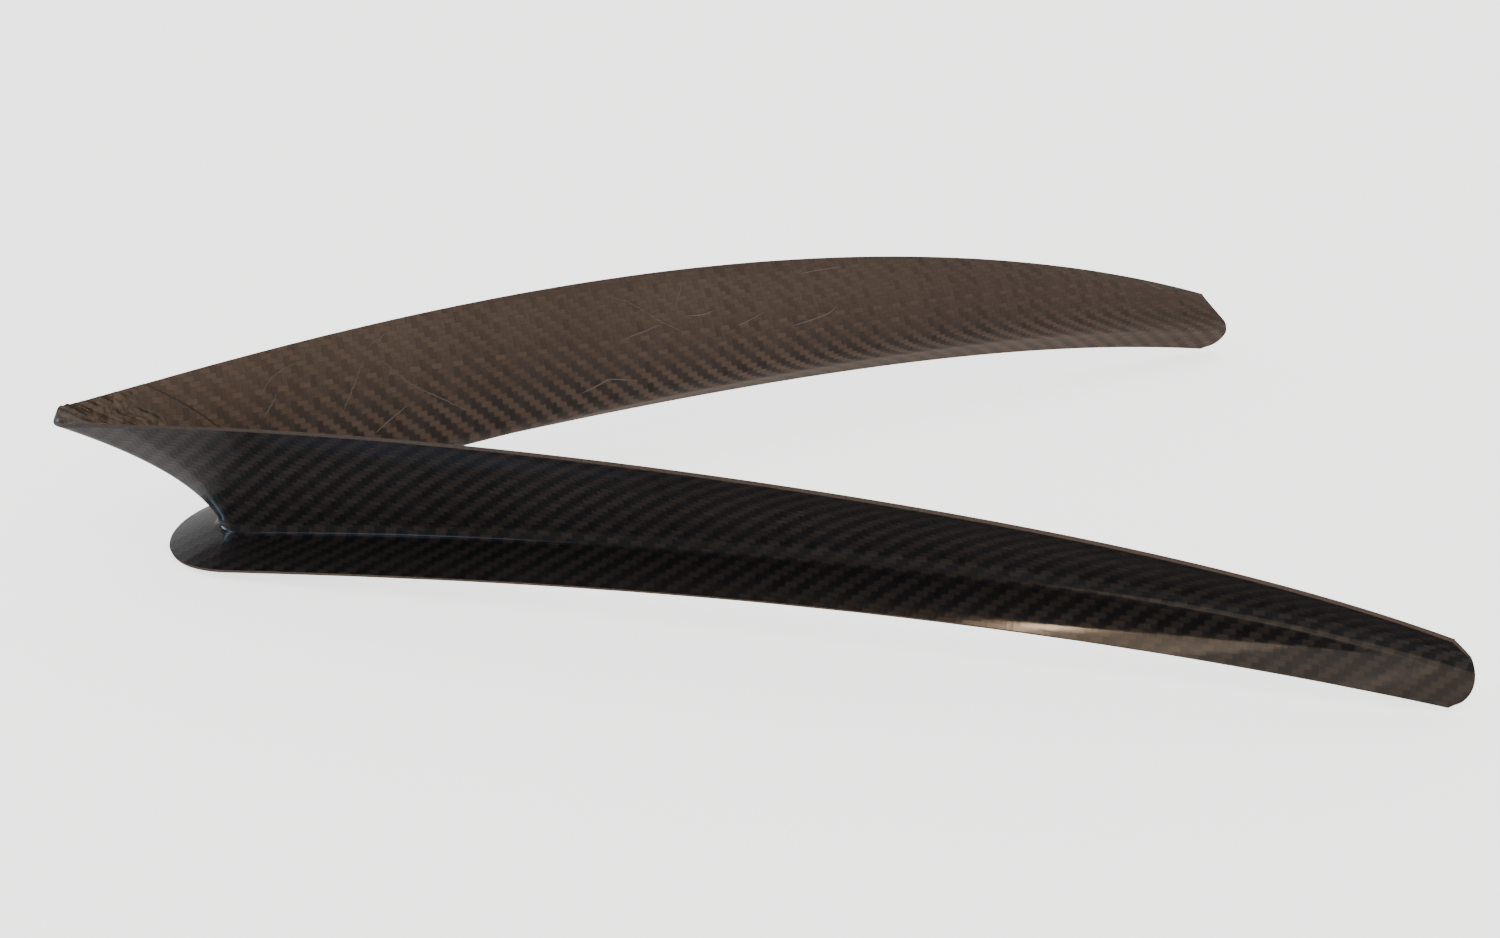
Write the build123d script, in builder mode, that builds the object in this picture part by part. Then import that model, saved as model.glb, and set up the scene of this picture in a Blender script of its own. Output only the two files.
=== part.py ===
from build123d import *
import os
from math import cos, radians, sin

# Spray deflector for the foredeck of a narrow racing boat: one thin carbon moulding, V-shaped in plan,
# with flared walls that meet in an overhanging prow and a bonding flange all round the outside.
# Frame: X runs aft along the centre line, Y to starboard, Z up from the deck. Units are millimetres.
# While it is drawn, X counts from the tip of the prow, and every piece is moved to the middle at the end.

os.makedirs("parts", exist_ok=True)

# ---- Laminate ----
PLY = 0.24  # cured thickness of one ply of 200 g/m2 carbon cloth
MIDDLE_PLIES = 3  # plies between the outer and the inner twill
FILLET = 5.2  # radius between wall and flange on the bag side, so 4.0 on the mould side

# ---- Plan ----
HALF_ANGLE = 18.5  # of the V between its two arms, in degrees
PIVOT = 54.6  # distance of the middle of the stem foot from the tip, where the stations fan out
FAN = (6, 13, 22, 34, 50)  # angles of the stations round the nose, from dead ahead
ARM = (0, 18, 40, 70, 110, 155, 200, 245, 290, 335, 375, 405, 426)  # stations along the arm, from the pivot

# ---- Guide lines of the bag side, starboard half ----
# Each starts on the centre line, rounds the nose up to "join", and follows the arm from there.
TOP = dict(start=(0.5, 0, 48.7), bluff=5.6, reach=5.5, join=(7.5, 9.5, 49.1),
           arm=[(129, 58, 66.7), (245, 117, 66.9), (363, 137, 55.7), (456, 152.5, 16.5)])
CREASE = dict(start=(54.3, 0, 6), bluff=4.2, reach=8, join=(67.3, 11, 7.4),
              arm=[(167, 47.5, 22.8), (267, 83.5, 27), (366, 112.5, 29.5), (462, 148, 9)])
EDGE = dict(start=(34.9, 0, -0.4), bluff=14, reach=14.5, join=(57, 30, 2.1),
            arm=[(164.5, 66, 13), (269, 98, 17.5), (364.5, 135, 15), (457, 153, -3.5)])

# ---- Section ----
KNEE_UP = 0.52  # height of the wall's control point over the crease, as a share of the wall's height
KNEE_OUT_STEM = 0.12  # its reach outboard as a share of the flare, at the stem
KNEE_OUT_ARM = 0.24  # and along the arms
FLANGE_CROWN = 0.06  # rise of the flange's control point, as a share of its width

# ---- Rear ends, as X and Z in side view ----
END_TOP = (435.5, 24.1)  # corner where the top edge stops
END_SHOULDER = (443.7, 15.1)  # where the straight cut from the corner turns into the round end
END_CREST = (445.4, 10)  # rearmost point
END_FOOT = (435.2, 0.9)  # where the round end meets the flange edge

# ---- Nose reinforcement ----
PATCH_LINE = [(15, 58), (28, 51.5), (40, 45), (52, 36), (62, 22), (66, 8)]  # X and Z of the patch's rear edge
FILLER_DEPTH = 3.5  # how far the resin reaches back from the bag side of the stem
FILLER_WIDTH = 12  # more than the width it has between the walls, each side
FILLER_CLEAR = 4.5  # depth of laminate and air taken away from the resin's blank
CHIP = 10  # volume under which a leftover of that cut isn't the filler

# ---- Blocks that trim the laminate ----
BLOCK_REACH = 20  # past the tip and below the deck
BLOCK_HEIGHT = 90
BLOCK_WIDTH = 200


def guide(start, bluff, reach, join, arm):
    """One guide line: a bluff curve from the centre line to the join, and a long one down the arm."""
    start, join = Vector(*start), Vector(*join)
    heading = (Vector(*arm[0]) - join).normalized()
    with BuildLine() as line:
        Bezier(start, start + Vector(0, bluff, 0), join - heading * reach, join)
        Bezier(join, *arm)
    return line


def cut(line, origin, outboard):
    """The point where an upright plane through origin, facing outboard, cuts a guide line."""
    station = Plane(origin=origin, x_dir=outboard, z_dir=outboard.cross(Vector(0, 0, 1)))
    for span in line.edges():
        for vertex in span.intersect(station) or []:
            point = Vector(*vertex)
            if (point - origin).dot(outboard) > 0:
                return point
    raise ValueError("a station misses a guide line")


def section_points(top, crease, edge, knee_out):
    """Points down one section of the bag side: flared wall, fillet, and flange curling down."""
    flare = Vector(top.X - crease.X, top.Y - crease.Y, 0)
    knee = crease + flare * knee_out + Vector(0, 0, (top.Z - crease.Z) * KNEE_UP)
    width = (edge - crease).length
    crown = (crease + edge) * 0.5 + Vector(0, 0, width * FLANGE_CROWN)

    def wall(t):
        return top * (1 - t) ** 2 + knee * (2 * t * (1 - t)) + crease * t**2

    def flange(t):
        return crease * (1 - t) ** 2 + crown * (2 * t * (1 - t)) + edge * t**2

    foot = FILLET / (2 * (crease - knee).length)
    heel = FILLET / width
    start, end = wall(1 - foot), flange(heel)
    middle = start * 0.28 + crease * 0.44 + end * 0.28
    upper = [wall((1 - foot) * share) for share in (0, 0.22, 0.44, 0.64, 0.82, 1)]
    lower = [flange(heel + (1 - heel) * share) for share in (0, 0.3, 0.65, 1)]
    return upper + [middle] + lower


def stations():
    """Origin and outboard direction of every section from the stem to the end of the arm."""
    pivot = Vector(PIVOT, 0, 0)
    for angle in FAN:
        yield pivot, Vector(-cos(radians(angle)), sin(radians(angle)), 0)
    angle = radians(HALF_ANGLE)
    for distance in ARM:
        yield pivot + Vector(cos(angle), sin(angle), 0) * distance, Vector(-sin(angle), cos(angle), 0)


def bag_side():
    """The whole bag side of the starboard half as one face, carried a little past the centre plane."""
    top, crease, edge = (guide(**line).line for line in (TOP, CREASE, EDGE))
    rows = [section_points(top @ 0, crease @ 0, edge @ 0, KNEE_OUT_STEM)]
    for number, (origin, outboard) in enumerate(stations(), start=1):
        share = min(number / (len(FAN) + 1), 1)
        knee_out = KNEE_OUT_STEM + (KNEE_OUT_ARM - KNEE_OUT_STEM) * share
        points = [cut(line, origin, outboard) for line in (top, crease, edge)]
        rows.append(section_points(*points, knee_out))
    beyond = [Vector(point.X, -point.Y, point.Z) for point in rows[1]]
    wires = []
    for row in [beyond] + rows:
        with BuildLine() as section:
            Spline(*row)
        wires.append(section.wire())
    return Shell.make_loft(wires).faces()[0]


def far_face(solid, face):
    """The broad face of a ply that lies opposite the face it was laid on."""
    broad = solid.faces().sort_by(SortBy.AREA)[-2:]
    return broad.sort_by(lambda side: (side.center() - face.center()).length)[-1]


def stem_curve(aft):
    """The bag side of the stem in the centre plane, moved aft by a distance."""
    tip, foot = Vector(TOP["start"][0], TOP["start"][2]), Vector(CREASE["start"][0], CREASE["start"][2])
    knee = foot + Vector((tip.X - foot.X) * KNEE_OUT_STEM, (tip.Y - foot.Y) * KNEE_UP)
    return Bezier(*(point + Vector(aft, 0) for point in (tip, knee, foot)))


OUTWARD = Vector(0, 1, -0.6)  # roughly the mould side's direction, all along the starboard half

# The starboard half's outline in side view, with its round rear end, as a block beside the centre plane.
with BuildPart() as half_block:
    with BuildSketch(Plane.XZ):
        with BuildLine():
            Polyline(END_FOOT, (END_FOOT[0], -BLOCK_REACH), (-BLOCK_REACH, -BLOCK_REACH),
                     (-BLOCK_REACH, BLOCK_HEIGHT), (END_TOP[0], BLOCK_HEIGHT), END_TOP, END_SHOULDER)
            ThreePointArc(END_SHOULDER, END_CREST, END_FOOT)
        make_face()
    extrude(amount=-BLOCK_WIDTH)

pieces = {}

# ---- Plies, from the bag side outwards ----
inner_face = bag_side()
face = inner_face
middle_plies = [f"middle_ply_{number}" for number in range(1, MIDDLE_PLIES + 1)]
for name in ["inner_twill", *middle_plies, "outer_twill"]:
    with BuildPart() as sheet:
        thicken(face, amount=PLY, normal_override=OUTWARD, clean=False)
    face = far_face(sheet, face)
    with BuildPart() as starboard:
        add(sheet.part)
        add(half_block.part, mode=Mode.INTERSECT)
    with BuildPart() as port:
        mirror(starboard.part, about=Plane.XZ)
    pieces[f"{name}_starboard"] = starboard
    pieces[f"{name}_port"] = port

# ---- Nose patch, a strip of cloth up the inside of the prow ----
with BuildPart() as patch_sheet:
    thicken(inner_face, amount=PLY, normal_override=-OUTWARD, clean=False)
patch_face = far_face(patch_sheet, inner_face)
with BuildPart() as patch_block:
    with BuildSketch(Plane.XZ):
        with BuildLine():
            Spline(*PATCH_LINE)
            Polyline(PATCH_LINE[-1], (-BLOCK_REACH, PATCH_LINE[-1][1]),
                     (-BLOCK_REACH, PATCH_LINE[0][1]), PATCH_LINE[0])
        make_face()
    extrude(amount=-BLOCK_WIDTH)
with BuildPart() as nose_patch:
    add(patch_sheet.part)
    add(patch_block.part, mode=Mode.INTERSECT)
    mirror(about=Plane.XZ)
pieces["nose_patch"] = nose_patch

# ---- Resin that fills the sharp inside of the prow ----
with BuildPart() as outside:
    thicken(patch_face, amount=FILLER_CLEAR, normal_override=OUTWARD, clean=False)
with BuildPart() as filler_half:
    with BuildSketch(Plane.XZ):
        with BuildLine():
            front = stem_curve(-FILLER_DEPTH)
            back = stem_curve(FILLER_DEPTH)
            Line(front @ 0, back @ 0)
            Line(front @ 1, back @ 1)
        make_face()
    extrude(amount=-FILLER_WIDTH)
    add(outside.part, mode=Mode.SUBTRACT)
with BuildPart() as nose_filler:
    chunks = filler_half.solids().filter_by(lambda solid: solid.volume > CHIP)
    add(chunks.sort_by(lambda solid: solid.center().Y)[0])
    mirror(about=Plane.XZ)
pieces["nose_filler"] = nose_filler

# ---- Every piece goes to the middle of the whole part, and is written out ----
boxes = [piece.part.bounding_box() for piece in pieces.values()]
middle = (min(box.min.X for box in boxes) + max(box.max.X for box in boxes)) / 2
lowest = min(box.min.Z for box in boxes)
for name, piece in pieces.items():
    piece.part.label = name
    export_step(piece.part.moved(Location((-middle, 0, -lowest))), f"parts/{name}.step")
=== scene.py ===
from math import pi, radians

import bpy
import numpy as np
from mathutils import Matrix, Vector


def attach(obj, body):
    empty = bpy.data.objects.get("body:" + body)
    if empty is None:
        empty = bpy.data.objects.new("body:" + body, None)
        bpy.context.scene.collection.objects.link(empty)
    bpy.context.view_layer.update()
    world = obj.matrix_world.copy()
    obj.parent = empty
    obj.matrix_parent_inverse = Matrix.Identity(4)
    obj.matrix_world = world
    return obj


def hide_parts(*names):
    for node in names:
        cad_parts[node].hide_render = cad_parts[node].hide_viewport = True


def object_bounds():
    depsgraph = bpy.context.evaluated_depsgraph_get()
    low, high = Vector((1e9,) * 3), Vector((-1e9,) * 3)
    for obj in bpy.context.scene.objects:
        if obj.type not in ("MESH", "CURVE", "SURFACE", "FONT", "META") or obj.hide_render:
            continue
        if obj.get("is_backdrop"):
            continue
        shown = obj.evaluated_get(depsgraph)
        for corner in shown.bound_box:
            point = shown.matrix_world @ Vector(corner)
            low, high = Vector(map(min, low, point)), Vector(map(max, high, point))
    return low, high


# Spray deflector for the foredeck of a narrow racing boat: carbon cloth in epoxy, moulded in one thin V.
# The plies are laid again here as fine grids with the cloth's own coordinates, from the same guide lines
# as the CAD. While a ply is laid, lengths are millimetres and X counts from the tip of the prow.

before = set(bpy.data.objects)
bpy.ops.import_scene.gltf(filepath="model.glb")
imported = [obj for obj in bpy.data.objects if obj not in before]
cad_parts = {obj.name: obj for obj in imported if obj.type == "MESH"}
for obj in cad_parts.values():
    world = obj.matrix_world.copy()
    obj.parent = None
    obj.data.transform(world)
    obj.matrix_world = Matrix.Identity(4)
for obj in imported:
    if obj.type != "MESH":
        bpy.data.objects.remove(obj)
cad_low, cad_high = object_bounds()

# ---- Laminate ----
PLY = 0.24  # cured thickness of one ply
MIDDLE_PLIES = 3
FILLET = 5.2  # radius between wall and flange on the bag side
TOW = 2.0  # pitch of the tows in the twill

# ---- Plan ----
HALF_ANGLE = 18.5  # of the V between its two arms, in degrees
# The stations fan out from two points, one for the top edge and one for the foot, so the sections lean aft
# at the foot. With one point for both, the wall beside the stem would have a fold.
TOP_PIVOT = np.array((54.6, 0, 0))
FOOT_PIVOT = np.array((66.0, 0, 0))
FAN_END = 90 - HALF_ANGLE  # angle where the fan of stations hands over to the arm
FAN_ROWS = 56
FAN_BUNCHING = 1.1  # more than 1 puts the rows closer together at the stem
ARM_END = 415  # distance of the last row from the pivots, before it is pulled to the rear end
ARM_STEP = 2.0
ANCHOR_ROW = FAN_ROWS + 60  # the row that the cloth is measured out from
TRIM_START = 370  # from here on, the rows are pulled to the round rear end

# ---- Guide lines of the bag side, starboard half ----
TOP = dict(start=(0.5, 0, 48.7), bluff=5.6, reach=5.5, join=(7.5, 9.5, 49.1),
           arm=[(129, 58, 66.7), (245, 117, 66.9), (363, 137, 55.7), (456, 152.5, 16.5)])
CREASE = dict(start=(54.3, 0, 6), bluff=4.2, reach=8, join=(67.3, 11, 7.4),
              arm=[(167, 47.5, 22.8), (267, 83.5, 27), (366, 112.5, 29.5), (462, 148, 9)])
EDGE = dict(start=(34.9, 0, -0.4), bluff=14, reach=14.5, join=(57, 30, 2.1),
            arm=[(164.5, 66, 13), (269, 98, 17.5), (364.5, 135, 15), (457, 153, -3.5)])

# ---- Section ----
KNEE_UP = 0.52  # height of the wall's control point over the crease, as a share of the wall's height
KNEE_OUT_STEM = 0.12  # its reach outboard as a share of the flare, at the stem
KNEE_OUT_ARM = 0.24  # and along the arms
FLANGE_CROWN = 0.06  # rise of the flange's control point, as a share of its width
FILLET_PULL = 0.5867  # share of the way to the crease of the fillet's control points
WALL_COLUMNS, FILLET_COLUMNS, FLANGE_COLUMNS = 30, 8, 12
CREASE_COLUMN = WALL_COLUMNS + FILLET_COLUMNS // 2

# ---- Rear ends, X and Z in side view ----
END_TOP = (435.5, 24.1)
END_SHOULDER = (443.7, 15.1)
END_CREST = (445.4, 10)
END_FOOT = (435.2, 0.9)

# ---- Nose reinforcement, and wrinkles of the vacuum bag ----
PATCH_LINE = [(15, 58), (28, 51.5), (40, 45), (52, 36), (62, 22), (66, 8)]  # X and Z of the patch's rear edge
RESIN_REACH, RESIN_LEAST = 23, 4  # how far the resin run into the prow reaches aft, at the top and lower down
RESIN_DEPTH = 1.9  # at the stem
NOSE_STEPS = 60  # rows of the grids laid on the inside of the prow
RIM_WIDTH, RIM_HEIGHT = 0.9, 0.06  # line of resin along the patch's rear edge, near black as painted shadow of the patch's step
WRINKLE_WIDTH, WRINKLE_HEIGHT = 0.65, 0.22
SINK = 0.05  # how deep the base of a raised line lies in the ply
SET_BACK, RAGGED = 0.05, 0.006  # a ply's trimmed rim, and the size of its unevenness
PORT_SHIFT = 38  # the port wall's wrinkles lie this much further aft
WRINKLES = [  # each as distance aft of the tip and share of the way down the wall
    [(66, 0.26), (70, 0.17), (75, 0.13), (81, 0.12)],
    [(67, 0.40), (70, 0.33), (72, 0.27)],
    [(102, 0.19), (100, 0.27), (97, 0.39), (94, 0.50)],
    [(103, 0.13), (107, 0.10), (110, 0.07)],
    [(103, 0.16), (110, 0.28), (116, 0.41), (124, 0.52), (138, 0.71)],
    [(105, 0.69), (110, 0.63), (116, 0.57)],
    [(179, 0.78), (185, 0.75), (189, 0.72), (200, 0.78)],
    [(195, 0.45), (203, 0.42), (209, 0.39)],
    [(189, 0.12), (197, 0.18), (203, 0.27), (210, 0.38), (217, 0.47)],
    [(218, 0.12), (216, 0.21), (215, 0.30)],
    [(219, 0.36), (225, 0.37), (230, 0.35)],
    [(238, 0.50), (243, 0.47), (249, 0.42)],
    [(260, 0.57), (268, 0.54), (275, 0.50), (278, 0.44)],
    [(263, 0.13), (281, 0.09)],
    [(408, 0.04), (417, 0.20)],
]

MM = 0.001
AFT = END_CREST[0] - cad_high.x / MM  # from the tip of the prow to the middle of the part


def bezier(points, t):
    points = [np.array(point, float) for point in points]
    while len(points) > 1:
        points = [a * (1 - t) + b * t for a, b in zip(points, points[1:])]
    return points[0]


def unit(vectors):
    return vectors / np.linalg.norm(vectors, axis=-1, keepdims=True)


def guide(start, bluff, reach, join, arm):
    """Close points along one guide line, from the centre line round the nose and down the arm."""
    start, join = np.array(start, float), np.array(join, float)
    heading = unit(np.array(arm[0]) - join)
    t = np.linspace(0, 1, 6000)[:, None]
    nose = bezier([start, start + (0, bluff, 0), join - heading * reach, join], t)
    return np.vstack([nose, bezier([join, *arm], t)[1:]])


def cut(line, origin, outboard):
    """The point where an upright plane through origin, facing outboard, cuts a guide line."""
    advance = np.array((outboard[1], -outboard[0], 0))
    ahead = (line - origin) @ advance
    reach = (line - origin) @ outboard
    first = np.nonzero((ahead[:-1] <= 0) & (ahead[1:] > 0) & (reach[1:] > 0))[0][0]
    share = -ahead[first] / (ahead[first + 1] - ahead[first])
    return line[first] * (1 - share) + line[first + 1] * share


def section(top, crease, edge, knee_out):
    """Points down one section of the bag side: flared wall, fillet, and flange curling down."""
    flare = (top - crease) * (1, 1, 0)
    knee = crease + flare * knee_out + np.array((0, 0, (top[2] - crease[2]) * KNEE_UP))
    width = np.linalg.norm(edge - crease)
    crown = (crease + edge) / 2 + np.array((0, 0, width * FLANGE_CROWN))
    foot = FILLET / (2 * np.linalg.norm(crease - knee))
    heel = FILLET / width
    down_wall = np.linspace(0, 1 - foot, WALL_COLUMNS)[:, None]
    wall = bezier([top, knee, crease], down_wall)
    flange = bezier([crease, crown, edge], np.linspace(heel, 1, FLANGE_COLUMNS)[:, None])
    start, end = wall[-1], flange[0]
    pulled = [start + (crease - start) * FILLET_PULL, end + (crease - end) * FILLET_PULL]
    round_crease = bezier([start, *pulled, end], np.linspace(0, 1, FILLET_COLUMNS + 2)[1:-1, None])
    return np.vstack([wall, round_crease, flange])


def rear_outline(z):
    """X of the round rear end at the heights z."""
    (x1, z1), (x2, z2), (x3, z3) = END_SHOULDER, END_CREST, END_FOOT
    sides = np.array([[x2 - x1, z2 - z1], [x3 - x1, z3 - z1]]) * 2
    squares = np.array([x2**2 - x1**2 + z2**2 - z1**2, x3**2 - x1**2 + z3**2 - z1**2])
    cx, cz = np.linalg.solve(sides, squares)
    radius = np.hypot(x1 - cx, z1 - cz)
    arc = cx + np.sqrt(np.clip(radius**2 - (z - cz) ** 2, 0, None))
    slant = x1 + (z - z1) * (END_TOP[0] - x1) / (END_TOP[1] - z1)
    return np.where(z > END_TOP[1], END_TOP[0], np.where(z > z1, slant, arc))


def bag_side():
    """The bag side of the starboard half as a grid of rows along the part and columns down the section."""
    lines = [(guide(**TOP), TOP_PIVOT), (guide(**CREASE), FOOT_PIVOT), (guide(**EDGE), FOOT_PIVOT)]
    rows = []
    for angle in FAN_END * np.linspace(0, 1, FAN_ROWS) ** FAN_BUNCHING:
        outboard = np.array((-np.cos(radians(angle)), np.sin(radians(angle)), 0))
        share = 1 - (1 - angle / FAN_END) ** 2
        knee_out = KNEE_OUT_STEM + (KNEE_OUT_ARM - KNEE_OUT_STEM) * share
        rows.append(section(*(cut(line, pivot, outboard) for line, pivot in lines), knee_out))
    outboard = np.array((-np.sin(radians(HALF_ANGLE)), np.cos(radians(HALF_ANGLE)), 0))
    along = np.array((outboard[1], -outboard[0], 0))
    steps = np.arange(ARM_STEP, ARM_END, ARM_STEP)
    for distance in steps:
        points = (cut(line, pivot + along * distance, outboard) for line, pivot in lines)
        rows.append(section(*points, KNEE_OUT_ARM))
    grid = np.array(rows)
    arm = grid[FAN_ROWS:].copy()
    moved = steps > TRIM_START
    for column in range(grid.shape[1]):
        line = arm[:, column]
        beyond = line[:, 0] - rear_outline(line[:, 2])
        end = np.interp(0, beyond[moved], steps[moved])
        shrink = (end - TRIM_START) / (steps[-1] - TRIM_START)
        wanted = np.where(moved, TRIM_START + (steps - TRIM_START) * shrink, steps)
        for axis in range(3):
            grid[FAN_ROWS:, column, axis] = np.interp(wanted, steps, line[:, axis])
    return grid


def outward_normals(grid):
    """Unit vectors from the bag side towards the mould side."""
    along = np.gradient(grid, axis=0)
    along[0] = (0, 1, 0)
    down = np.gradient(grid, axis=1)
    return unit(np.cross(along, down))


def cloth_coordinates(grid, normals, headings):
    """Lengths along and across the tows. Headings are distances aft, and the tows' degrees off aft there."""
    heading = np.radians(np.interp(grid[..., 0], *headings))
    run = np.stack([np.cos(heading), np.sin(heading), np.zeros_like(heading)], axis=-1)
    along = unit(run - normals * (run * normals).sum(-1, keepdims=True))
    across = np.cross(along, normals)
    anchor = grid[ANCHOR_ROW]
    lengths = []
    for direction in (along, across):
        step_rows = (np.diff(grid, axis=0) * (direction[1:] + direction[:-1]) / 2).sum(-1)
        there = direction[ANCHOR_ROW]
        step_columns = (np.diff(anchor, axis=0) * (there[1:] + there[:-1]) / 2).sum(-1)
        base = np.concatenate([[0], np.cumsum(step_columns)])
        total = np.concatenate([np.zeros((1, grid.shape[1])), np.cumsum(step_rows, axis=0)])
        lengths.append(total - total[ANCHOR_ROW] + base)
    return np.stack(lengths, axis=-1)


grid = bag_side()
normals = outward_normals(grid)
ROWS, COLUMNS = grid.shape[:2]
DOWN = np.minimum(np.arange(COLUMNS) / CREASE_COLUMN, 1)  # share of the way down the wall
LOWEST = grid[..., 2].min()  # the flange's lowest point, which rests on the floor


# ---- Node helpers ----
def shader_tree(name):
    material = bpy.data.materials.new(name)
    material.use_nodes = True
    tree = material.node_tree
    tree.nodes.clear()
    shader = tree.nodes.new("ShaderNodeBsdfPrincipled")
    output = tree.nodes.new("ShaderNodeOutputMaterial")
    tree.links.new(shader.outputs[0], output.inputs["Surface"])
    return material, tree, shader


def feed(tree, value, socket):
    """Links a node's output to a socket, or sets the socket to a plain value."""
    if isinstance(value, bpy.types.NodeSocket):
        tree.links.new(value, socket)
    else:
        socket.default_value = value


def calc(tree, operation, *values):
    node = tree.nodes.new("ShaderNodeMath")
    node.operation = operation
    for value, socket in zip(values, node.inputs):
        feed(tree, value, socket)
    return node.outputs[0]


def mix(tree, share, a, b, kind="FLOAT"):
    node = tree.nodes.new("ShaderNodeMix")
    node.data_type = kind
    ending = "Float" if kind == "FLOAT" else "Color"
    sockets = {socket.identifier: socket for socket in node.inputs}
    for value, name in ((share, "Factor_Float"), (a, f"A_{ending}"), (b, f"B_{ending}")):
        feed(tree, value, sockets[name])
    return next(socket for socket in node.outputs if socket.identifier == f"Result_{ending}")


def noise(tree, vector, scale, detail=2.0, roughness=0.5, output="Fac"):
    node = tree.nodes.new("ShaderNodeTexNoise")
    feed(tree, vector, node.inputs["Vector"])
    node.inputs["Scale"].default_value = scale
    node.inputs["Detail"].default_value = detail
    node.inputs["Roughness"].default_value = roughness
    return node.outputs[output]


def combine(tree, x, y, z=0.0):
    node = tree.nodes.new("ShaderNodeCombineXYZ")
    for value, socket in zip((x, y, z), node.inputs):
        feed(tree, value, socket)
    return node.outputs[0]


def random_of(tree, vector):
    node = tree.nodes.new("ShaderNodeTexWhiteNoise")
    node.noise_dimensions = "3D"
    feed(tree, vector, node.inputs["Vector"])
    return node.outputs["Value"]


def spread(tree, value, low, high, out_low=0.0, out_high=1.0):
    node = tree.nodes.new("ShaderNodeMapRange")
    node.interpolation_type = "SMOOTHSTEP"
    for given, socket in zip((value, low, high, out_low, out_high), node.inputs):
        feed(tree, given, socket)
    return node.outputs[0]


def bump(tree, height, distance):
    node = tree.nodes.new("ShaderNodeBump")
    node.inputs["Strength"].default_value = 1
    node.inputs["Distance"].default_value = distance
    feed(tree, height, node.inputs["Height"])
    return node.outputs[0]


def object_coordinates(tree):
    return tree.nodes.new("ShaderNodeTexCoord").outputs["Object"]


def twill(tree, wander=0.35, blur=0.12):
    """A 2x2 twill from the cloth coordinates, which count tows: masks, heights and tones for a material.

    Wander is how far the tows stray, and blur how softly one gives way to the next, both in tows.
    """
    uv = tree.nodes.new("ShaderNodeUVMap")
    uv.uv_map = "cloth"
    parts = tree.nodes.new("ShaderNodeSeparateXYZ")
    tree.links.new(uv.outputs[0], parts.inputs[0])
    where = object_coordinates(tree)
    drift = tree.nodes.new("ShaderNodeSeparateXYZ")
    tree.links.new(noise(tree, where, 420, 2.0, 0.6, "Color"), drift.inputs[0])
    u = calc(tree, "MULTIPLY_ADD", drift.outputs[0], wander, parts.outputs[0])
    v = calc(tree, "MULTIPLY_ADD", drift.outputs[1], wander, parts.outputs[1])
    i, j = calc(tree, "FLOOR", u), calc(tree, "FLOOR", v)
    fu, fv = calc(tree, "SUBTRACT", u, i), calc(tree, "SUBTRACT", v, j)
    k = calc(tree, "FLOORED_MODULO", calc(tree, "ADD", i, j), 4.0)  # place in the twill's repeat of four tows
    warp = calc(tree, "LESS_THAN", k, 1.5)
    soft = 0.0  # the warp mask again, averaged over four points
    for du, dv in ((-blur, -blur), (-blur, blur), (blur, -blur), (blur, blur)):
        near_i = calc(tree, "FLOOR", calc(tree, "ADD", u, du))
        near_j = calc(tree, "FLOOR", calc(tree, "ADD", v, dv))
        near_k = calc(tree, "FLOORED_MODULO", calc(tree, "ADD", near_i, near_j), 4.0)
        soft = calc(tree, "MULTIPLY_ADD", calc(tree, "LESS_THAN", near_k, 1.5), 0.25, soft)
    along_warp = calc(tree, "MULTIPLY", calc(tree, "ADD", k, fu), 0.5)
    along_weft = calc(tree, "MULTIPLY", calc(tree, "ADD", calc(tree, "SUBTRACT", k, 2.0), fv), 0.5)
    along = mix(tree, warp, along_weft, along_warp)
    across = mix(tree, warp, fu, fv)
    centred = calc(tree, "MULTIPLY_ADD", across, 2.0, -1.0)
    crown = calc(tree, "SUBTRACT", 1.0, calc(tree, "MULTIPLY", centred, centred))
    arch = calc(tree, "SINE", calc(tree, "MULTIPLY", along, pi))
    height = calc(tree, "MULTIPLY", crown, calc(tree, "MULTIPLY_ADD", arch, 0.55, 0.45))
    number = mix(tree, warp, i, calc(tree, "ADD", j, 0.5))
    tow_tone = random_of(tree, combine(tree, number, warp, 3.0))
    along_u, along_v = (calc(tree, "MULTIPLY", x, 0.35) for x in (u, v))
    across_u, across_v = (calc(tree, "MULTIPLY", x, 9.0) for x in (u, v))
    fibre_warp = noise(tree, combine(tree, along_u, across_v), 1.0, 3.0, 0.7)
    fibre_weft = noise(tree, combine(tree, across_u, along_v), 1.0, 3.0, 0.7)
    fibre = mix(tree, warp, fibre_weft, fibre_warp)
    gap = calc(tree, "MULTIPLY", spread(tree, crown, 0.0, 0.34), spread(tree, arch, 0.0, 0.3))
    return dict(soft=soft, height=height, tone=tow_tone, fibre=fibre, gap=gap, where=where)


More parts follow.
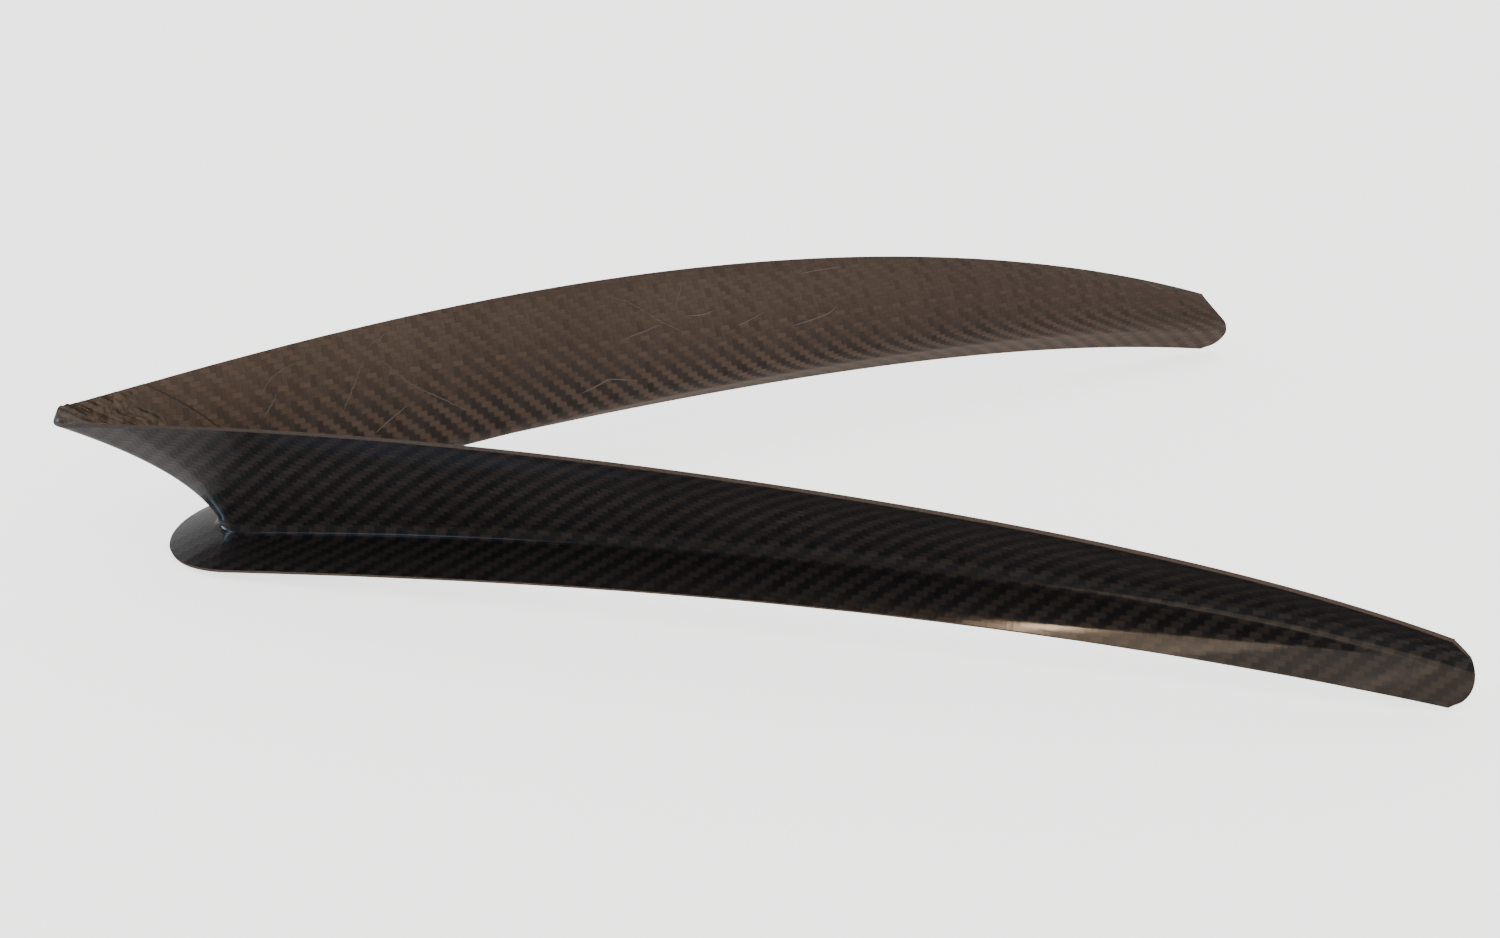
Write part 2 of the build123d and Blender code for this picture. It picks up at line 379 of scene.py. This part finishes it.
def carbon(name, warp_color, weft_color, roughness, coat, coat_roughness, relief, aniso=0.7, metallic=0.0,
           specular=0.5, gap=0.2):
    """A cloth material. Relief is in metres, and gap is how much darker the lines between the tows are."""
    material, tree, shader = shader_tree(name)
    cloth = twill(tree)
    color = mix(tree, cloth["soft"], (*weft_color, 1), (*warp_color, 1), "RGBA")
    tone = calc(tree, "MULTIPLY_ADD", cloth["tone"], 0.3, 0.85)
    tone = calc(tree, "MULTIPLY", tone, calc(tree, "MULTIPLY_ADD", cloth["fibre"], 0.9, 0.55))
    tone = calc(tree, "MULTIPLY", tone, calc(tree, "MULTIPLY_ADD", cloth["gap"], gap, 1 - gap))
    cloudy = noise(tree, cloth["where"], 14, 3.0)
    tone = calc(tree, "MULTIPLY", tone, calc(tree, "MULTIPLY_ADD", cloudy, 0.5, 0.75))
    scaled = tree.nodes.new("ShaderNodeVectorMath")
    scaled.operation = "SCALE"
    feed(tree, color, scaled.inputs[0])
    feed(tree, tone, scaled.inputs["Scale"])
    feed(tree, scaled.outputs[0], shader.inputs["Base Color"])
    rough = calc(tree, "MULTIPLY_ADD", cloth["fibre"], 0.15, roughness - 0.075)
    feed(tree, rough, shader.inputs["Roughness"])
    fine = calc(tree, "MULTIPLY_ADD", cloth["fibre"], 0.12, cloth["height"])
    feed(tree, bump(tree, fine, relief), shader.inputs["Normal"])
    shader.inputs["Metallic"].default_value = metallic
    shader.inputs["Specular IOR Level"].default_value = specular
    shader.inputs["Anisotropic"].default_value = aniso
    tangent = tree.nodes.new("ShaderNodeTangent")
    tangent.direction_type = "UV_MAP"
    tangent.uv_map = "cloth"
    feed(tree, tangent.outputs[0], shader.inputs["Tangent"])
    feed(tree, calc(tree, "MULTIPLY", cloth["soft"], 0.25), shader.inputs["Anisotropic Rotation"])
    shader.inputs["Coat Weight"].default_value = coat
    shader.inputs["Coat Roughness"].default_value = coat_roughness
    shader.inputs["Coat IOR"].default_value = 1.42
    return material, tree, shader, dict(cloth, color=color, scale=scaled)


RELIEF = 0.00004  # height of the weave, in metres
gloss, tree, shader, cloth = carbon("gloss_twill", (0.036, 0.031, 0.029), (0.017, 0.0165, 0.018), 0.34, 1.0,
                                    0.08, RELIEF, aniso=0.5, metallic=0.6, specular=0.25)
waviness = calc(tree, "MULTIPLY", noise(tree, cloth["where"], 160), 0.8)
print_through = calc(tree, "ADD", cloth["height"], waviness)
feed(tree, bump(tree, print_through, 0.0000025), shader.inputs["Coat Normal"])

satin, tree, shader, cloth = carbon("satin_twill", (0.112, 0.083, 0.066), (0.100, 0.075, 0.061), 0.5, 0.25,
                                    0.35, RELIEF, aniso=0.5, metallic=0.6)
# Painted shade: low on the wall near the crease and towards the nose, the colour turns darker, the weft tows
# most; high up and aft, both look alike.
down = tree.nodes.new("ShaderNodeAttribute")
down.attribute_name = "down"
place = tree.nodes.new("ShaderNodeSeparateXYZ")
feed(tree, cloth["where"], place.inputs[0])
# How much painted shade there is: more low on the wall and more towards the nose.
low = calc(tree, "MULTIPLY_ADD", place.outputs[0], -1.6, down.outputs["Fac"])
low = spread(tree, low, 0.1, 0.95)
painted_shade_tows = mix(tree, cloth["soft"], (0.034, 0.028, 0.027, 1), (0.080, 0.058, 0.046, 1), "RGBA")
feed(tree, mix(tree, low, cloth["color"], painted_shade_tows, "RGBA"), cloth["scale"].inputs[0])

middle = carbon("middle_cloth", (0.03, 0.027, 0.025), (0.02, 0.018, 0.017), 0.5, 0.0, 0.3, 0.0001,
                aniso=0.0)[0]

cut_edge, tree, shader = shader_tree("cut_edge")
where = object_coordinates(tree)
grain = noise(tree, where, 900, 3.0, 0.6)
grain_color = mix(tree, grain, (0.018, 0.013, 0.010, 1), (0.085, 0.058, 0.042, 1), "RGBA")
feed(tree, grain_color, shader.inputs["Base Color"])
feed(tree, spread(tree, grain, 0.3, 0.7, 0.35, 0.6), shader.inputs["Roughness"])
feed(tree, bump(tree, grain, 0.00006), shader.inputs["Normal"])

epoxy, tree, shader = shader_tree("thick_resin")
where = object_coordinates(tree)
lumps = noise(tree, where, 260, 4.0, 0.65)
# Lighter brown spots over the lumps: partly the resin's uneven tone, partly painted glints.
resin_tone_and_glints = mix(tree, spread(tree, lumps, 0.42, 0.8), (0.030, 0.020, 0.013, 1), (0.12, 0.078, 0.044, 1), "RGBA")
feed(tree, resin_tone_and_glints, shader.inputs["Base Color"])
feed(tree, spread(tree, lumps, 0.3, 0.7, 0.15, 0.4), shader.inputs["Roughness"])
feed(tree, bump(tree, lumps, 0.0004), shader.inputs["Normal"])
shader.inputs["Coat Weight"].default_value = 0.35
shader.inputs["Coat Roughness"].default_value = 0.12

ridge_resin, tree, shader = shader_tree("ridge_resin")
where = object_coordinates(tree)
cloudy = noise(tree, where, 300, 2.0)
ridge_color = mix(tree, cloudy, (0.060, 0.046, 0.037, 1), (0.105, 0.081, 0.064, 1), "RGBA")
feed(tree, ridge_color, shader.inputs["Base Color"])
feed(tree, spread(tree, cloudy, 0.3, 0.7, 0.35, 0.5), shader.inputs["Roughness"])

# Resin line along the patch's rear edge, near black: partly resin, partly painted shadow of the patch's step.
resin_and_step_shadow, tree, shader = shader_tree("resin_and_step_shadow")
where = object_coordinates(tree)
drops = noise(tree, where, 500, 2.0)
step_shadow_resin_color = mix(tree, drops, (0.006, 0.004, 0.003, 1), (0.03, 0.02, 0.014, 1), "RGBA")
feed(tree, step_shadow_resin_color, shader.inputs["Base Color"])
feed(tree, spread(tree, drops, 0.3, 0.7, 0.25, 0.45), shader.inputs["Roughness"])


# ---- Plies ----
def put(name, vertices, faces, materials, face_material, uv, down, node, side):
    """A mesh piece from starboard millimetres, on the given side, with the cloth's coordinates in tows."""
    mirror = np.array((1, side, 1))
    places = (vertices * mirror - (AFT, 0, LOWEST)) * MM
    if side < 0:
        faces = faces[:, ::-1]
    mesh = bpy.data.meshes.new(name)
    mesh.from_pydata(places.tolist(), [], [list(dict.fromkeys(face)) for face in faces.tolist()])
    for material in materials:
        mesh.materials.append(material)
    mesh.polygons.foreach_set("material_index", face_material)
    layer = mesh.uv_layers.new(name="cloth")
    corners = np.zeros(len(mesh.loops), np.int32)
    mesh.loops.foreach_get("vertex_index", corners)
    counted = uv / TOW * (1, side)
    layer.data.foreach_set("uv", counted[corners].ravel())
    mesh.attributes.new("down", "FLOAT", "POINT").data.foreach_set("value", down)
    mesh.polygons.foreach_set("use_smooth", np.ones(len(mesh.polygons), bool))
    mesh.set_sharp_from_angle(angle=radians(40))
    mesh.update()
    piece = bpy.data.objects.new(name, mesh)
    bpy.context.scene.collection.objects.link(piece)
    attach(piece, "root")
    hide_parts(node)


def shell_faces(rows, columns):
    """Quads of a closed sheet of two grids, and each quad's kind: 0 on the broad sides and 1 on the rims."""
    number = np.arange(rows * columns).reshape(rows, columns)
    top = number + rows * columns
    bag = np.stack([number[:-1, :-1], number[1:, :-1], number[1:, 1:], number[:-1, 1:]], -1).reshape(-1, 4)
    mould = np.stack([top[:-1, :-1], top[:-1, 1:], top[1:, 1:], top[1:, :-1]], -1).reshape(-1, 4)
    rims = []
    for a, b in ((number[:, 0], top[:, 0]), (top[:, -1], number[:, -1]),
                 (number[-1], top[-1]), (top[0], number[0])):
        rims.append(np.stack([a[:-1], b[:-1], b[1:], a[1:]], -1))
    rims = np.vstack(rims)
    kinds = np.concatenate([np.zeros(len(bag) + len(mould)), np.ones(len(rims))]).astype(np.int32)
    return np.vstack([bag, mould, rims]), kinds


def ragged(ply, rim):
    """Small unevenness of one ply's trimmed rim, in mm, along the rows."""
    place = np.arange(ROWS) * ARM_STEP
    waves = sum(np.sin(place / (2.1 + 1.7 * n) + 5.3 * ply + 2.9 * rim + n) for n in range(4))
    return waves * RAGGED


def at(field, rows, columns):
    """Values of a field over the grid at fractional rows and columns."""
    rows, columns = np.clip(rows, 0, ROWS - 1.001), np.clip(columns, 0, COLUMNS - 1.001)
    r, c = rows.astype(int), columns.astype(int)
    a, b = (rows - r)[..., None], (columns - c)[..., None]
    near = field[r, c] * (1 - b) + field[r, c + 1] * b
    return near * (1 - a) + (field[r + 1, c] * (1 - b) + field[r + 1, c + 1] * b) * a


def bead(rows, columns, width, height, offset, uv):
    """A thin raised line, offset from the bag side: a three-sided prism that thins out at both ends."""
    place, out = at(grid, rows, columns), unit(at(normals, rows, columns))
    place = place - out * offset
    sideways = unit(np.cross(np.gradient(place, axis=0), out))
    taper = np.sin(np.linspace(0.04, 0.96, len(rows)) * pi)[:, None] ** 0.4
    left = place + sideways * taper * width / 2 + out * SINK
    right = place - sideways * taper * width / 2 + out * SINK
    crest = place - out * taper * height
    vertices = np.stack([left, right, crest], axis=1).reshape(-1, 3)
    ring = np.arange(3)
    start = np.arange(len(rows) - 1)[:, None] * 3
    faces = np.stack([start + ring, start + (ring + 1) % 3, start + (ring + 1) % 3 + 3, start + ring + 3], -1)
    last = len(vertices) - 3
    caps = np.array([(2, 1, 0, 0), (last, last + 1, last + 2, last + 2)])
    return vertices, faces.reshape(-1, 4), caps, np.repeat(at(uv, rows, columns), 3, axis=0), columns


def wrinkle_path(points, shift):
    """Fractional rows and columns along one wrinkle, given as distances aft and shares down the wall."""
    points = np.array(points, float)
    t = np.linspace(0, len(points) - 1, 10 * len(points))
    aft, share = (np.interp(t, np.arange(len(points)), points[:, axis]) for axis in (0, 1))
    kernel = np.ones(7) / 7
    aft, share = (np.convolve(np.pad(line, 3, mode="reflect", reflect_type="odd"), kernel, "valid")
                  for line in (aft, share))
    columns = share * CREASE_COLUMN
    rows = [np.interp(x + shift, grid[:, int(round(c)), 0], np.arange(ROWS)) for x, c in zip(aft, columns)]
    return np.array(rows), columns


def add_beads(vertices, faces, kinds, uv, down, beads, kind):
    """The mesh arrays of a piece with raised lines added."""
    for points, quads, caps, lengths, columns in beads:
        faces = np.vstack([faces, quads + len(vertices), caps + len(vertices)])
        kinds = np.concatenate([kinds, np.full(len(quads) + len(caps), kind, np.int32)])
        vertices, uv = np.vstack([vertices, points]), np.vstack([uv, lengths])
        down = np.concatenate([down, np.repeat(columns / CREASE_COLUMN, 3)])
    return vertices, faces, kinds, uv, down


def ply_piece(name, number, material, headings, side):
    """One ply between the bag side's offsets number and number + 1."""
    low, high = grid + normals * PLY * number, grid + normals * PLY * (number + 1)
    for layer in (low, high):
        for rim, (last, before) in enumerate(((0, 1), (-1, -2))):
            out = unit(layer[:, last] - layer[:, before])
            layer[:, last] -= out * (SET_BACK + ragged(number, rim))[:, None]
    lengths = cloth_coordinates(grid + normals * PLY * (number + 0.5), normals, headings)
    faces, kinds = shell_faces(ROWS, COLUMNS)
    vertices = np.vstack([low.reshape(-1, 3), high.reshape(-1, 3)])
    arrays = vertices, faces, kinds, np.vstack([lengths.reshape(-1, 2)] * 2), np.tile(DOWN, ROWS * 2)
    if number == 0:
        shift = 0 if side > 0 else PORT_SHIFT
        paths = [wrinkle_path(points, shift) for points in WRINKLES]
        beads = [bead(*path, WRINKLE_WIDTH, WRINKLE_HEIGHT, 0, lengths) for path in paths]
        arrays = add_beads(*arrays, beads, 2)
    vertices, faces, kinds, uv, down = arrays
    suffix = "starboard" if side > 0 else "port"
    put(f"{name}_{suffix}_cloth", vertices, faces, [material, cut_edge, ridge_resin], kinds, uv, down,
        f"{name}_{suffix}", side)


def row_at(column, edge):
    """The fractional row where one column of the grid meets an edge."""
    ahead = grid[:, column, 0] - edge(grid[:, column], column / CREASE_COLUMN)
    first = np.nonzero((ahead[:-1] <= 0) & (ahead[1:] > 0))[0][0]
    return first - ahead[first] / (ahead[first + 1] - ahead[first])


def nose_piece(name, edge, columns, depth, material, second, node, side, lengths, rim=False):
    """A closed sheet on the inside of the prow, from the stem back to an edge, as deep as depth says.

    With rim, a raised line of the second material follows that edge.
    """
    columns = np.arange(columns)
    ends = np.array([row_at(column, edge) for column in columns])
    share = np.linspace(0, 1, NOSE_STEPS)[:, None]
    rows = share * ends
    across = np.broadcast_to(columns.astype(float), rows.shape)
    place, out = at(grid, rows, across), unit(at(normals, rows, across))
    near, far = depth(share, place)
    low, high = place - out * far[..., None], place - out * near[..., None]
    low[0, :, 1] = high[0, :, 1] = 0
    faces, kinds = shell_faces(NOSE_STEPS, len(columns))
    vertices = np.vstack([low.reshape(-1, 3), high.reshape(-1, 3)])
    uv = np.vstack([at(lengths, rows, across).reshape(-1, 2)] * 2)
    down = np.tile(columns / CREASE_COLUMN, NOSE_STEPS * 2)
    arrays = vertices, faces, np.zeros_like(kinds), uv, down
    if rim:
        line = bead(ends, columns.astype(float), RIM_WIDTH, RIM_HEIGHT, PLY, lengths)
        arrays = add_beads(*arrays, [line], 1)
    vertices, faces, kinds, uv, down = arrays
    put(name, vertices, faces, [material, second], kinds, uv, down, node, side)


def patch_edge(line, down):
    x, height = np.array(PATCH_LINE).T
    return np.polyval(np.polyfit(height, x, 3), line[:, 2])


def resin_edge(line, down):
    reach = RESIN_LEAST + (RESIN_REACH - RESIN_LEAST) * (1 - down) ** 2.5
    return line[0, 0] + reach + 1.2 * np.sin(down * 40)


def patch_depth(share, place):
    return np.zeros(place.shape[:2]), np.full(place.shape[:2], PLY)


def resin_depth(share, place):
    """Lumpy resin, deep at the stem, with a thin skin over the rest of its reach."""
    x, z = place[..., 0], place[..., 2]
    coarse = np.sin(x * 1.7 + z * 0.9) * np.sin(z * 1.3 - x * 0.8 + 1)
    fine = np.sin(x * 3.1 - z * 2.3) * np.sin(z * 3.7)
    lumps = coarse + 0.6 * fine
    plug = RESIN_DEPTH * (1 - share) ** 1.4 * (1 + 0.22 * lumps)
    skin = 0.12 * (1 + 0.8 * lumps) * (1 - share) ** 0.3
    depth = plug + skin
    return np.full(depth.shape, PLY * 0.9), PLY + np.maximum(depth, 0.02)


# Distances aft of the tip, and the degrees off aft that the tows head there.
OUTER_HEADINGS = ((60, 200, 320), (21, 19.5, 18))
INNER_HEADINGS = ((60, 200, 320), (18.5, 16.2, 17.5))
PATCH_HEADINGS = ((0, 80), (12, 12))
patch_lengths = cloth_coordinates(grid, normals, PATCH_HEADINGS)
for side in (1, -1):
    ply_piece("inner_twill", 0, satin, INNER_HEADINGS, side)
    for count in range(1, MIDDLE_PLIES + 1):
        ply_piece(f"middle_ply_{count}", count, middle, OUTER_HEADINGS, side)
    ply_piece("outer_twill", MIDDLE_PLIES + 1, gloss, OUTER_HEADINGS, side)
    suffix = "starboard" if side > 0 else "port"
    nose_piece(f"nose_patch_{suffix}_cloth", patch_edge, CREASE_COLUMN - 3, patch_depth, satin, resin_and_step_shadow,
               "nose_patch", side, patch_lengths, rim=True)
    nose_piece(f"nose_filler_{suffix}_resin", resin_edge, CREASE_COLUMN - 6, resin_depth, epoxy, epoxy,
               "nose_filler", side, patch_lengths)

# ---- Floor, light and camera ----
floor_mesh = bpy.data.meshes.new("floor")
FLOOR_REACH = 4.0
corners = [(x * FLOOR_REACH, y * FLOOR_REACH, 0) for x, y in ((-1, -1), (1, -1), (1, 1), (-1, 1))]
floor_mesh.from_pydata(corners, [], [(0, 1, 2, 3)])
floor = bpy.data.objects.new("floor", floor_mesh)
bpy.context.scene.collection.objects.link(floor)
floor.location.z = -0.0005
floor.visible_glossy = False  # the soft lights stand in for the pale floor in reflections
floor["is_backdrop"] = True
pale, tree, shader = shader_tree("pale_floor")
shader.inputs["Base Color"].default_value = (0.9, 0.9, 0.9, 1)
shader.inputs["Roughness"].default_value = 0.9
shader.inputs["Specular IOR Level"].default_value = 0.1
shader.inputs["Emission Color"].default_value = (1, 1, 1, 1)
shader.inputs["Emission Strength"].default_value = 1.8
floor_mesh.materials.append(pale)

world = bpy.data.worlds.new("studio")
bpy.context.scene.world = world
world.use_nodes = True
sky = world.node_tree.nodes["Background"]
sky.inputs["Color"].default_value = (1, 0.96, 0.92, 1)
rays = world.node_tree.nodes.new("ShaderNodeLightPath")
# Reflections see a darker room than the one that lights the cloth.
dim = world.node_tree.nodes.new("ShaderNodeMapRange")
world.node_tree.links.new(rays.outputs["Is Glossy Ray"], dim.inputs["Value"])
dim.inputs["To Min"].default_value = 1.15
dim.inputs["To Max"].default_value = 0.14
world.node_tree.links.new(dim.outputs[0], sky.inputs["Strength"])


def card(name, place, size, radiance, color, aim=(0, 0, 0.02)):
    """A soft rectangular light of even brightness, facing the object."""
    light = bpy.data.lights.new(name, "AREA")
    light.shape = "RECTANGLE"
    light.size, light.size_y = size
    light.energy = radiance * pi * size[0] * size[1]
    light.color = color
    lamp = bpy.data.objects.new(name, light)
    bpy.context.scene.collection.objects.link(lamp)
    lamp.location = place
    lamp.visible_camera = False
    lamp.rotation_mode = "QUATERNION"
    lamp.rotation_quaternion = (Vector(aim) - Vector(place)).to_track_quat("-Z", "Y")


card("wall_wash", (0.45, -1.5, 0.98), (2.0, 0.9), 0.75, (1, 0.78, 0.60))
card("ceiling_wash", (0.25, -1.0, 1.33), (1.1, 0.62), 0.75, (1, 0.84, 0.70))
card("lamp_glow", (0.0, -0.7, 1.5), (0.5, 0.3), 2.6, (1, 0.74, 0.52))
card("lamp_halo", (-0.07, -0.57, 1.53), (0.26, 0.10), 7, (1, 0.68, 0.42))
card("lamp", (-0.07, -0.57, 1.54), (0.10, 0.05), 34, (1, 0.74, 0.48))
card("side_wash", (1.2, -0.9, 1.1), (1.0, 0.9), 0.12, (1, 0.80, 0.66))
card("backdrop", (-0.9, 1.3, 0.45), (1.2, 0.9), 0.3, (0.96, 0.98, 1))
card("window", (-1.58, 0.45, 0.5), (0.22, 0.6), 9, (0.5, 0.74, 1))
card("window_glow", (-1.1, -0.2, 1.3), (0.9, 0.4), 1.9, (0.5, 0.68, 1))
card("far_fill", (0.9, 1.3, 0.9), (1.6, 1.0), 0.7, (1, 0.97, 0.93))
card("floor_bounce", (-0.4, 0.646, 0.001), (0.6, 1.3), 0.24, (1, 0.96, 0.94), aim=(-0.4, 0.646, 1))
card("floor_bounce_soft", (-0.4, 0.632, 0.002), (0.6, 1.3), 0.12, (1, 0.96, 0.94), aim=(-0.4, 0.632, 1))
card("floor_bounce_aft", (0.4, 0.66, 0.001), (1.0, 1.3), 0.34, (1, 0.82, 0.66), aim=(0.4, 0.66, 1))

# The camera was found by fitting the part's outline and the twill's spacing to the photo.
camera_data = bpy.data.cameras.new("camera")
camera_data.sensor_width = 36
camera_data.lens = 59.92
camera_data.clip_start = 0.05
camera_data.clip_end = 50
camera = bpy.data.objects.new("camera", camera_data)
bpy.context.scene.collection.objects.link(camera)
camera.location = Vector((161.28 - AFT, -790.76, 381.69 - LOWEST)) * MM
camera.rotation_euler = [radians(angle) for angle in (65.537, -0.327, -5.231)]
bpy.context.scene.camera = camera

low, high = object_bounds()
